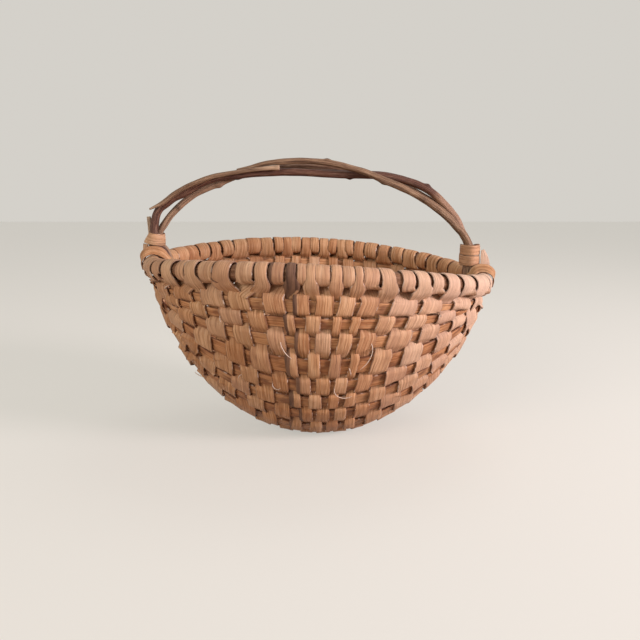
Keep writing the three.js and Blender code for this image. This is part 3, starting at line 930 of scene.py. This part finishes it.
for i, rib in enumerate(ribs):
    looks = (0, 0, (i * ribSettings["chanceStep"] + ribSettings["chanceStart"]) % 1)
    short = ribSettings["shortRows"]
    if rib["long"]:
        reach = math.radians(ribSettings["reach"])
        places = [reach, *borders, math.pi - reach]
    else:
        places = borders[short:len(borders) - short]
    stations = [ribStation(rib, along, looks) for along in places]
    rings = stripRings(stations, ribSettings["thickness"], i + ribWild["seed"], ribWild)
    name = rib["name"].title().replace("_", "") + "Splint"
    buildMesh(name, [rings], False, ribFinish, "rib_splint", [rib["name"]])
print("ribs made")


weaverWild = {
    "spacing": 1.6,
    "twist": 0.09,
    "width": 0.1,
    "rag": 0.28,
    "lift": 0.22,
    "crown": 0.3,
    "seed": 40.5,
}


def rowLooks(row, bark, pale=0):
    return (bark, pale, (row["index"] * wearAndLight["chanceStep"] + wearAndLight["chanceStart"]) % 1)


# Painted light: the rows towards the right end are made paler, as if lit more strongly from the
# right
def rightEndLight(row):  # the right end is paler
    return wearAndLight["pale"] * clamp((row["index"] - wearAndLight["rightLightFrom"]) / wearAndLight["rightLightRows"], 0, 1)


def rimWave(row, kind):
    step, length, seed = rowWaves[kind]
    return wave(row["index"] * step, length, seed)


def bowlWave(row, rib, kind):
    length, seed = bowlWaves[kind]
    return wave(rib["angle"], length, row["index"] + seed)


def rimStation(along, turn, radius, width, back, looks):
    radians = math.radians(turn)
    outward = rimOutward(along)
    point = rimCentre(along)
    point += outward * radius * math.cos(radians) + up * radius * math.sin(radians)
    side = rimTangent(along)
    if back:
        point.y = -point.y
        side.y = -side.y
    return makeStation(point, side, width, looks)


def rimWrap(row, outside, back):
    if back:
        looks = rowLooks(row, 0)
        shift = weaver["backShift"] * rimWave(row, "backShift")
        share = row["backWidth"] + weaver["backVary"] * rimWave(row, "backWidth")
        width = row["pitch"] * share
    else:
        # Painted light: the front wraps are made paler than the back wraps, and paler still towards
        # the right end
        looks = rowLooks(row, row["bark"], rightEndLight(row) + wearAndLight["wrapLight"])
        shift = row["wrapShift"]
        width = row["wrapWidth"]
    lean = weaver["wrapLean"] * rimWave(row, "backLean" if back else "frontLean")
    over = weaver["wrapOver"] * (row["index"] % 2)
    passWidth = max(width, row["pitch"]) * weaver["passWidth"]
    turns = [(weaver["enterTurn"], weaver["passRadius"], passWidth)]
    for i in range(weaver["wrapSteps"] + 1):
        turn = lerp(weaver["wrapStart"], weaver["wrapEnd"], i / weaver["wrapSteps"])
        turns.append((turn, rim["wrapRadius"] + over, width))
    stations = []
    for turn, radius, here in turns:
        along = alongAtLength(row["length"] + shift) + lean * math.sin(math.radians(turn))
        mirrored = turn if outside else 180 - turn
        stations.append(rimStation(along, mirrored, radius, here, back, looks))
    return stations


def bowlRow(row):
    crossed = [rib for rib in ribs if crosses(rib, row)]
    middle = (rowSettings["count"] - 1) / 2
    offside = (row["index"] - middle) / (rowSettings["count"] / 2)  # from -1 at the left end to 1
    strength = 1 if offside > 0 else weaver["leftShare"]
    bow = weaver["bow"] * strength * math.sin(math.pi * offside)
    rowLean = weaver["lean"] * strength * clamp(offside * weaver["leanFull"], -1, 1)
    stations = []
    for i, rib in enumerate(crossed):
        down = rib["angle"] / 90  # 0 at the front rim, 1 under the keel, 2 at the back rim
        front = max(0, 1 - down) ** weaver["traitFade"]
        outside = (row["index"] + i) % 2 == 0

        # the rim holds the strips in place, further down they wander
        loose = weaver["looser"] * down + weaver["looseStart"]
        loose = clamp(loose, weaver["looseLeast"], 1)
        shift = row["bowlShift"] * front - bow * math.sin(math.pi / 2 * down)
        shift += weaver["stray"] * loose * bowlWave(row, rib, "stray")
        along = alongAtLength(row["length"] + shift)

        width = lerp(row["pitch"] * weaver["lowWidth"], row["bowlWidth"], front)
        width *= 1 + weaver["vary"] * bowlWave(row, rib, "width")
        if i in (0, len(crossed) - 1):
            width *= weaver["firstWidth"]
        width *= weaver["outsideWidth"] if outside else weaver["insideWidth"]

        patchy = max(0, wearAndLight["patchy"] * bowlWave(row, rib, "patchy"))
        # painted light of the right end, fading down past the keel, plus real paler places
        pale = rightEndLight(row) * clamp(wearAndLight["rightLightLow"] - down, 0, 1) + patchy
        bark = row["bowlBark"] * clamp(wearAndLight["barkFade"] * (wearAndLight["barkLow"] - down), 0, 1)
        looks = rowLooks(row, bark, clamp(pale, 0, wearAndLight["most"]))

        station = ribStation(rib, along, looks)
        side = station["side"]
        outward = bowlOutward(along, ribAround(rib, along))
        tangent = side.cross(outward)
        way = 1 if outside else -1
        half = station["width"] / 2 + weaver["fitGap"] / 2
        lean = rowLean * math.cos(math.pi / 2 * down) * (1 if outside else weaver["insideLean"])
        for share, arch in ((1, 0), (0, weaver["arch"]), (-1, 0)):
            point = station["point"] + outward * way * (weaver["lift"] + arch) + side * share * half
            point += tangent * lean * half * share
            stations.append(makeStation(point, tangent, width, looks))
    return stations


def weaverStations(first, second):
    pair = first, second
    turnLength = sum(row["length"] + row["wrapShift"] for row in pair) / 2
    turnWidth = sum(row["wrapWidth"] for row in pair) / 2
    radius, tuck = rim["wrapRadius"], weaver["tuckTurn"]
    ends = [
        rimStation(row["along"], turn, radius, row["pitch"], True, rowLooks(row, 0))
        for row, turn in zip(pair, (tuck, 180 - tuck))
    ]
    middle = alongAtLength(turnLength)
    return [
        ends[0],
        *reversed(rimWrap(first, True, True)),
        *reversed(bowlRow(first)),
        *rimWrap(first, True, False),
        rimStation(middle, -90, radius, turnWidth, False, rowLooks(first, 0)),
        *reversed(rimWrap(second, False, False)),
        *bowlRow(second),
        *rimWrap(second, False, True),
        ends[1],
    ]


# Torn fibres that curl off the strips at the front, by row: the rib that they lie on, counted
# from the front rim, the share of the half width beside the middle, the direction (0 towards
# the right end, 90 down), how far it turns, the length, and how far the tip stands off
fibre = {
    "radii": [(0, 0.38), (0.7, 0.32), (1, 0.12)],
    "spacing": 0.9,
    "sides": 6,
    "ridge": 0.1,
    "lump": 0.1,
    "knots": [],
    "paleAt": lambda share: 1.0,
    "steps": 10,
    "root": 0.3,  # how deep in the strip it starts
}
tornPlaces = {
    4: [(8, 0, 150, 30, 9, 3)],
    7: [(1, -0.9, 120, -60, 6, 1.5), (9, 0, 100, -120, 12, 2)],
    8: [(4, -0.95, 150, -60, 6, 1.2)],
    10: [(2, 0.5, 88, -60, 15, 1.4), (4, -0.9, 100, -200, 11, 2)],
    16: [(4, -0.9, 88, -135, 21, 2.4)],
    17: [(3, -0.9, 60, 20, 7, 1.2)],
    18: [(2, 0.65, 60, 80, 24, 2)],
    22: [(10, 0.2, 70, -90, 9, 1.6)],
}


def fibreRings(stations, torn, seed):
    crossing, offset, heading, turn, length, lift = torn
    before, here, after = stations[3 * crossing:3 * crossing + 3]
    side = here["side"]
    down = (after["point"] - before["point"]).normalized()
    outward = down.cross(side).normalized()
    if outward.y > 0:
        outward = -outward
    point = here["point"] + side * here["width"] / 2 * offset
    points = []
    for i in range(fibre["steps"] + 1):
        share = i / fibre["steps"]
        rise = weaver["thickness"] / 2 - fibre["root"] + lift * math.sin(math.pi / 2 * share)
        points.append(point + outward * rise)
        angle = math.radians(heading + turn * share)
        step = side * math.cos(angle) + down * math.sin(angle)
        point = point + step * length / fibre["steps"]
    return tubeRings(points, seed, fibre)


for i in range(0, rowSettings["count"], 2):
    stations = weaverStations(rows[i], rows[i + 1])
    strands = [stripRings(stations, weaver["thickness"], i + weaverWild["seed"], weaverWild)]
    for row in rows[i:i + 2]:
        for k, torn in enumerate(tornPlaces.get(row["index"], [])):
            strands.append(fibreRings(bowlRow(row), torn, row["index"] + k))
    number = f"{i // 2 + 1:02d}"
    node = f"weaver_{number}"
    buildMesh(f"weaver{number}Splint", strands, False, weaverFinish, "splint", [node])
print("weavers made")


# Handle: four twigs and a cut stub, from left to right. A route gives the share of half the rim's
# length, the share of the rise, and the place from front to back
handle = {
    "rise": 90,
    "footTop": 2,
    "footDepth": 14,
    "footRadius": 3.5,
    "bundleGap": 0.45,
}


def routePoints(route):
    return [
        Vector((rim["shift"] + reach * halfLength, y, rim["height"] + rise * handle["rise"]))
        for reach, rise, y in route
    ]


def footPoints(along, y):
    centre = rimCentre(along)
    inside = rim["outerRadius"] + handle["bundleGap"] + handle["footRadius"]
    x = centre.x - math.copysign(inside, centre.x)
    depth = handle["footDepth"]
    return [Vector((x, y, centre.z + z)) for z in (handle["footTop"], -depth / 2, -depth)]


def fade(share, start, end):  # 0 at the start, 1 at the end
    return clamp((share - start) / (end - start), 0, 1)


# Knot at a share of the length, facing up at turn 90, to the front at 180 and down at 270
def makeKnot(at, turn, height, length, dark=0.6):
    return {"at": at, "turn": turn, "height": height, "length": length, "dark": dark}


# "ridge" and "lump" say how deep these are, as shares of the radius, "paleAt" how pale the bark is
thickTwig = {"spacing": 1.5, "sides": 18, "ridge": 0.16, "lump": 0.07}
slimTwig = {"spacing": 1.2, "sides": 12, "ridge": 0.15, "lump": 0.1}
tanTwig = {
    **thickTwig,
    "route": [
        (-0.485, 0.896, -1.2), (-0.406, 0.921, -2.2), (-0.334, 0.951, -3), (-0.255, 0.969, -4.4),
        (-0.178, 0.977, -5.2), (-0.077, 0.98, -5.6), (0.042, 0.965, -5.6), (0.119, 0.946, -5.5),
        (0.196, 0.915, -5.5), (0.273, 0.883, -5.5), (0.397, 0.802, -5.4), (0.498, 0.737, -5.2),
        (0.597, 0.661, -5), (0.68, 0.582, -4.8), (0.797, 0.435, -4.9), (0.843, 0.355, -5.1),
        (0.878, 0.3, -5.3), (0.914, 0.2, -5.6),
    ],
    "radii": [(0, 1.3), (0.1, 2.2), (0.2, 2.5), (0.45, 2.8), (0.7, 3.4), (1, 3.3)],
    "knots": [
        makeKnot(0.29, 90, 1.2, 2.6),
        makeKnot(0.48, 250, 1.0, 3),
        makeKnot(0.62, 200, 0.9, 3.5),
    ],
    "paleAt": lambda share: 0.0,
}
darkTwig = {
    **thickTwig,
    "ridge": 0.18,
    "route": [
        (-0.94, 0.14, -3.5), (-0.974, 0.19, -3.2), (-0.994, 0.317, -2.8), (-0.988, 0.412, -2.4),
        (-0.973, 0.496, -1.8), (-0.951, 0.547, -1.4), (-0.916, 0.588, -1.2), (-0.868, 0.643, -1.2),
        (-0.807, 0.686, -1), (-0.756, 0.729, -0.8), (-0.709, 0.77, -0.6), (-0.64, 0.811, -0.4),
        (-0.577, 0.833, 0), (-0.487, 0.85, 0.4), (-0.408, 0.864, 0.6), (-0.258, 0.878, 0.6),
        (-0.078, 0.876, 0.8), (0.042, 0.867, 1.2), (0.162, 0.857, 1.6), (0.277, 0.854, 1.8),
        (0.391, 0.846, 1.8), (0.491, 0.814, 1.6), (0.591, 0.769, 1.4), (0.676, 0.702, 1.2),
        (0.769, 0.568, 1.1), (0.841, 0.431, 1), (0.881, 0.307, 0.9), (0.921, 0.2, 0.8),
    ],
    "radii": [(0, 3.5), (1, 3.1)],
    "knots": [
        makeKnot(0.739, 90, 1.6, 2.6),
        makeKnot(0.34, 270, 1.0, 3),
        makeKnot(0.575, 270, 1.3, 2.2, 0.9),
    ],
    "paleAt": lambda share: 0.75 * fade(share, 0.755, 0.775),  # bare from the knot on
}
lightTwig = {
    **thickTwig,
    "route": [
        (-0.94, 0.14, 3.9), (-0.969, 0.19, 4.1), (-0.969, 0.313, 4.5), (-0.939, 0.386, 4.8),
        (-0.906, 0.459, 5), (-0.863, 0.532, 5.2), (-0.81, 0.605, 5.6), (-0.743, 0.675, 6),
        (-0.648, 0.743, 6.2), (-0.583, 0.786, 6.6), (-0.492, 0.843, 7), (-0.413, 0.874, 7),
        (-0.321, 0.902, 7), (-0.23, 0.919, 7), (-0.109, 0.926, 7.2), (0.042, 0.919, 7.6),
        (0.164, 0.898, 8), (0.279, 0.87, 8), (0.395, 0.818, 8), (0.499, 0.759, 7.8),
        (0.597, 0.687, 7.5), (0.684, 0.611, 7.3), (0.797, 0.482, 7.2), (0.855, 0.375, 7.2),
        (0.886, 0.297, 7.2), (0.918, 0.2, 7.2),
    ],
    "radii": [(0, 3), (0.35, 2.7), (1, 3)],
    "knots": [
        makeKnot(0.176, 200, 0.5, 1.8, 0.8),
        makeKnot(0.28, 235, 1.5, 3, 0.35),
        makeKnot(0.52, 270, 1.3, 3.5),
    ],
    "paleAt": lambda share: 0.55 * fade(share, 0.36, 0.26),
}
thinTwig = {
    **slimTwig,
    "route": [
        (-1.009, 0.535, -7), (-0.957, 0.572, -7), (-0.911, 0.615, -7), (-0.863, 0.671, -7),
        (-0.798, 0.73, -6.8), (-0.702, 0.796, -6.6), (-0.633, 0.833, -6.4), (-0.57, 0.853, -6.2),
        (-0.487, 0.875, -6), (-0.404, 0.895, -6.1), (-0.314, 0.911, -6.4), (-0.228, 0.922, -6.6),
    ],
    "radii": [(0, 0.8), (0.12, 1.9), (0.4, 2.3), (0.85, 1.8), (1, 2.1)],
    "knots": [makeKnot(0.98, 270, 0.7, 2.4, 0)],
    "paleAt": lambda share: 0.7 * fade(share, 0.2, 0) + 0.9 * fade(share, 0.8, 0.92),
}
stubTwig = {
    **slimTwig,
    "lump": 0.08,
    "route": [(-1.022, 0.145, 1), (-1.022, 0.295, 1), (-1.024, 0.371, 1), (-1.028, 0.462, 1)],
    "radii": [(0, 1.8), (1, 1.8)],
    "knots": [],
    "paleAt": lambda share: 0.6 * fade(share, 0.9, 1),
}
leftEnd, rightEnd = 0.0, math.pi
leftFeet = {"dark": -3.7, "light": 3.7}
rightFeet = {"dark": 0.1, "light": 7.1, "tan": -6.9}
twigs = [
    ("dark", darkTwig, darkFinish, "dark_twig"),
    ("tan", tanTwig, tanFinish, "tan_twig"),
    ("light", lightTwig, lightFinish, "brown_twig"),
    ("thin", thinTwig, tanFinish, "tan_twig"),
    ("stub", stubTwig, paleFinish, "pale_twig"),
]
for i, (name, twig, finish, slot) in enumerate(twigs):
    points = routePoints(twig["route"])
    if name in leftFeet:
        points = [*reversed(footPoints(leftEnd, leftFeet[name])), *points]
    if name in rightFeet:
        points += footPoints(rightEnd, rightFeet[name])
    rings = tubeRings(points, i + 1, twig)
    buildMesh(f"{name}Twig", [rings], False, finish, slot, [f"twig_{name}"])
print("twigs made")


# Collars wound round the twigs, lashings and ties round the rim, loose ends
band = {"gap": 0.4, "thickness": 1.1, "steps": 12}
bandWild = {
    "spacing": 1.2,
    "twist": 0.05,
    "width": 0.06,
    "rag": 0.18,
    "lift": 0.15,
    "crown": 0.25,
    "seed": 70.5,
}
leftCollar = {
    "width": 10.2,
    "turns": 1.1,
    "pitch": 0,
    "start": 100,
    "radius": 6.1,
    "deep": 3,
    "reach": 0.99,
    "y": 0.6,
    "lift": 21.4,
    "layer": 1.6,  # the end lies over the first turn
    "tilt": 1.2,  # lower at the side towards the bowl
    "flare": 0.62,  # the side away from the bowl leans out at the bottom
    "looks": (0, 0.1, 0.2),
}
rightCollar = {
    "width": 9,
    "turns": 1.5,
    "pitch": 9.1,
    "start": 180,
    "radius": 6.9,
    "deep": 5.3,
    "reach": 0.928,
    "y": 0.6,
    "lift": 22.2,
    "layer": 0,
    "tilt": 0,
    "flare": 0,
    "looks": (0, 0.1, 0.7),
}


def stepDown(turns):  # level round the first half of a turn, sinks round the second half
    whole = math.floor(turns)
    sunk = max(0, 2 * (turns - whole) - 1)
    return whole + sunk * sunk * (3 - 2 * sunk)


def collarStations(collar, end):
    centre = rimCentre(end)
    middle = Vector((
        rim["shift"] + (centre.x - rim["shift"]) * collar["reach"],
        collar["y"],
        centre.z + collar["lift"],
    ))
    stations = []
    for i in range(round(collar["turns"] * band["steps"]) + 1):
        turns = i / band["steps"]
        angle = math.radians(collar["start"]) + turns * 2 * math.pi
        inward, sideways = math.cos(angle), math.sin(angle)
        drop = collar["pitch"] * (stepDown(turns) - 0.5) + collar["tilt"] * inward
        over = collar["layer"] * clamp(4 * turns - 3, 0, 1)
        radius = collar["radius"] + band["gap"] + band["thickness"] / 2 + over
        way = Vector((inward * radius, sideways * (radius + collar["deep"]), -drop))
        side = Vector((collar["flare"] * max(0, -inward), 0, 1)).normalized()
        stations.append(makeStation(middle + way, side, collar["width"], collar["looks"]))
    return stations


lashing = {
    "width": 10,
    "pitch": 11.6,
    "turns": 3.2,
    "steps": 9,
    "leftLooks": (0, 0, 0.35),
    "rightLooks": (0, 0, 0.8),
}
tie = {
    "width": 7.6,
    "step": 35,  # degrees
    "start": -25,
    "back": 215,
    "clearance": 1.5,
    "drop": 6,
    "slant": 0.35,
    "radius": 8.9,
    "leftRise": [0, 0.4, 2.6, 3.4, 3.8, 4.4],  # how far the near turn stands off the rim, by step
    "rightRise": [0, 0.4, 2.4, 3, 3.2, 2.8],
    "twist": [0, 0, 0.5, 0.8, 0.8, 0.4],  # how far it faces the front
    "leftLooks": (0, 0, 0.55),
    "rightLooks": (0, 0, 0.15),
}


def endStation(end, offset, turn, radius, width, looks):
    sign = -1 if end == leftEnd else 1
    return rimStation(end + sign * offset / halfWidth, turn, radius, width, False, looks)


def lashingStations(end, looks):
    stations = []
    steps = round(lashing["turns"] * lashing["steps"])
    size = rim["wrapRadius"], lashing["width"]
    for i in range(steps + 1):
        offset = (i / steps - 0.5) * lashing["turns"] * lashing["pitch"]
        turn = -90 - i / lashing["steps"] * 360
        stations.append(endStation(end, offset, turn, *size, looks))
    return stations


def tieStations(end, feet, side):
    rises, looks = tie[side + "Rise"], tie[side + "Looks"]
    centre = rimCentre(end)
    inward = -math.copysign(1, centre.x)
    beside = max(abs(y) for y in feet.values()) + handle["footRadius"] + tie["clearance"]
    bundle = handle["bundleGap"] + 2 * handle["footRadius"]
    reach = rim["outerRadius"] + bundle + band["gap"] + band["thickness"] / 2
    offset = beside + tie["width"] / 2

    def across(y, z):
        side = Vector((0, tie["slant"], 1)).normalized()
        point = Vector((centre.x + inward * reach, y, centre.z + z))
        return makeStation(point, side, tie["width"], looks)

    near, far = [], []
    for i, rise in enumerate(rises):
        turn = tie["start"] + i * tie["step"]
        station = endStation(end, -offset, turn, tie["radius"] + rise, tie["width"], looks)
        radians = math.radians(turn)
        away = rimOutward(end) * math.cos(radians) + up * math.sin(radians)
        along = station["side"] * math.copysign(1, station["side"].y)
        station["side"] = along.lerp(away, tie["twist"][i]).normalized()
        near.append(station)
        turn = tie["back"] + i * tie["step"]
        far.append(endStation(end, offset, turn, tie["radius"], tie["width"], looks))
    return [*near, across(-beside, 0), across(beside, -tie["drop"]), *far]


leftTail = {  # places from the end of the rim with widths, then turns round the rim
    "side": Vector((0.62, -0.78, 0)),
    "free": [((-6.6, -3.4, 17), 8.6), ((-7.2, -3.6, 9.5), 8.6)],
    "held": (18, -6, -30),
    "offset": -3,
    "radius": 8.8,
    "width": 7.6,
    "looks": (0, 0.1, 0.3),
}
rightTail = {
    "side": Vector((1, 0, 0)),
    "free": [
        ((1.8, -8.6, 8.6), 7.8),
        ((1.4815, -8.915, 15.075), 8),
        ((0.526, -9.23, 21.55), 6.2),
        ((-0.8, -9.5, 27.1), 2.8),
    ],
    "held": (),
    "looks": (0, 0.5, 0.6),
}


def tailStations(tail, end):
    stations = []
    for place, width in tail["free"]:
        point = rimCentre(end) + Vector(place)
        stations.append(makeStation(point, tail["side"], width, tail["looks"]))
    for turn in tail["held"]:
        size = tail["radius"], tail["width"]
        stations.append(endStation(end, tail["offset"], turn, *size, tail["looks"]))
    return stations


bands = [
    ("leftCollar", "collar_left", collarStations(leftCollar, leftEnd)),
    ("rightCollar", "collar_right", collarStations(rightCollar, rightEnd)),
    ("leftLashing", "lashing_left", lashingStations(leftEnd, lashing["leftLooks"])),
    ("rightLashing", "lashing_right", lashingStations(rightEnd, lashing["rightLooks"])),
    ("leftTie", "tie_left", tieStations(leftEnd, leftFeet, "left")),
    ("rightTie", "tie_right", tieStations(rightEnd, rightFeet, "right")),
    ("leftTail", "tail_left", tailStations(leftTail, leftEnd)),
    ("rightTail", "tail_right", tailStations(rightTail, rightEnd)),
]
for i, (name, node, stations) in enumerate(bands):
    rings = stripRings(stations, band["thickness"], i + bandWild["seed"], bandWild)
    buildMesh(name, [rings], False, weaverFinish, "splint", [node])
print("bands made")


# Floor and room: one colour where they are looked at, another where they only light the basket
ground = {
    "half": 3,
    "lights": (0.34, 0.24, 0.18),
    "looks": (0.36, 0.345, 0.32),
    "glow": (0.46, 0.445, 0.41),
    "roughness": 0.85,
}
groundFinish = Finish(bpy.data.materials.new("paleFloor"))
seen = groundFinish.seen()
groundFinish.surface(
    colour=groundFinish.mix(seen, ground["lights"], ground["looks"]),
    roughness=ground["roughness"],
    glow=groundFinish.mix(seen, (0, 0, 0), ground["glow"]),
    glowStrength=1,
)
half = ground["half"]
corners = [(-half, -half, 0), (half, -half, 0), (half, half, 0), (-half, half, 0)]
floorMesh = bpy.data.meshes.new("floor")
floorMesh.from_pydata(corners, [], [(0, 1, 2, 3)])
floorMesh.materials.append(groundFinish.owner)
floor = addObject("floor", floorMesh)

room = {
    "lights": (0.95, 0.9, 0.84, 1),
    "lightStrength": 0.26,
    "looks": (0.66, 0.635, 0.59, 1),
}
roomFinish = Finish(bpy.data.worlds.new("paleRoom"))
backgrounds = (
    {"Color": room["lights"], "Strength": room["lightStrength"]},
    {"Color": room["looks"]},
)
sources = [roomFinish.add("ShaderNodeBackground", inputs=inputs) for inputs in backgrounds]
choice = roomFinish.add(
    "ShaderNodeMixShader",
    inputs=dict(enumerate([roomFinish.seen(), *sources])),
)
roomFinish.add("ShaderNodeOutputWorld", inputs={"Surface": choice})
bpy.context.scene.world = roomFinish.owner

# Lamps: stronger from the right, warmer from the left
lampTarget = (0, 0, 0.1)
lamps = {
    "keyLamp": {
        "place": (1.35, -0.65, 0.55),
        "size": 0.45,
        "energy": 27,
        "colour": (1, 0.88, 0.92),
    },
    "fillLamp": {
        "place": (-0.95, -1.3, 0.7),
        "size": 0.9,
        "energy": 13,
        "colour": (1, 0.93, 0.84),
    },
    "topLamp": {
        "place": (0.3, 0.55, 1.3),
        "size": 0.6,
        "energy": 2.5,
        "colour": (1, 0.96, 0.92),
    },
}
for name, settings in lamps.items():
    data = bpy.data.lights.new(name, "AREA")
    data.size = settings["size"]
    data.energy = settings["energy"]
    data.color = settings["colour"]
    lamp = addObject(name, data)
    lamp.location = settings["place"]
    aim = Vector(lampTarget) - Vector(settings["place"])
    lamp.rotation_euler = aim.to_track_quat("-Z", "Y").to_euler()

camera = {"place": (0.0021, -0.635, 0.221), "pitch": 11.13, "lens": 41.175, "sensor": 36}
cameraData = bpy.data.cameras.new("camera")
cameraData.sensor_fit = "HORIZONTAL"
cameraData.sensor_width = camera["sensor"]
cameraData.lens = camera["lens"]
cameraObject = addObject("camera", cameraData)
cameraObject.location = camera["place"]
cameraObject.rotation_euler = (math.radians(90 - camera["pitch"]), 0, 0)
bpy.context.scene.camera = cameraObject
bpy.context.scene.view_settings.view_transform = "Standard"
print("floor, lamps and camera made")
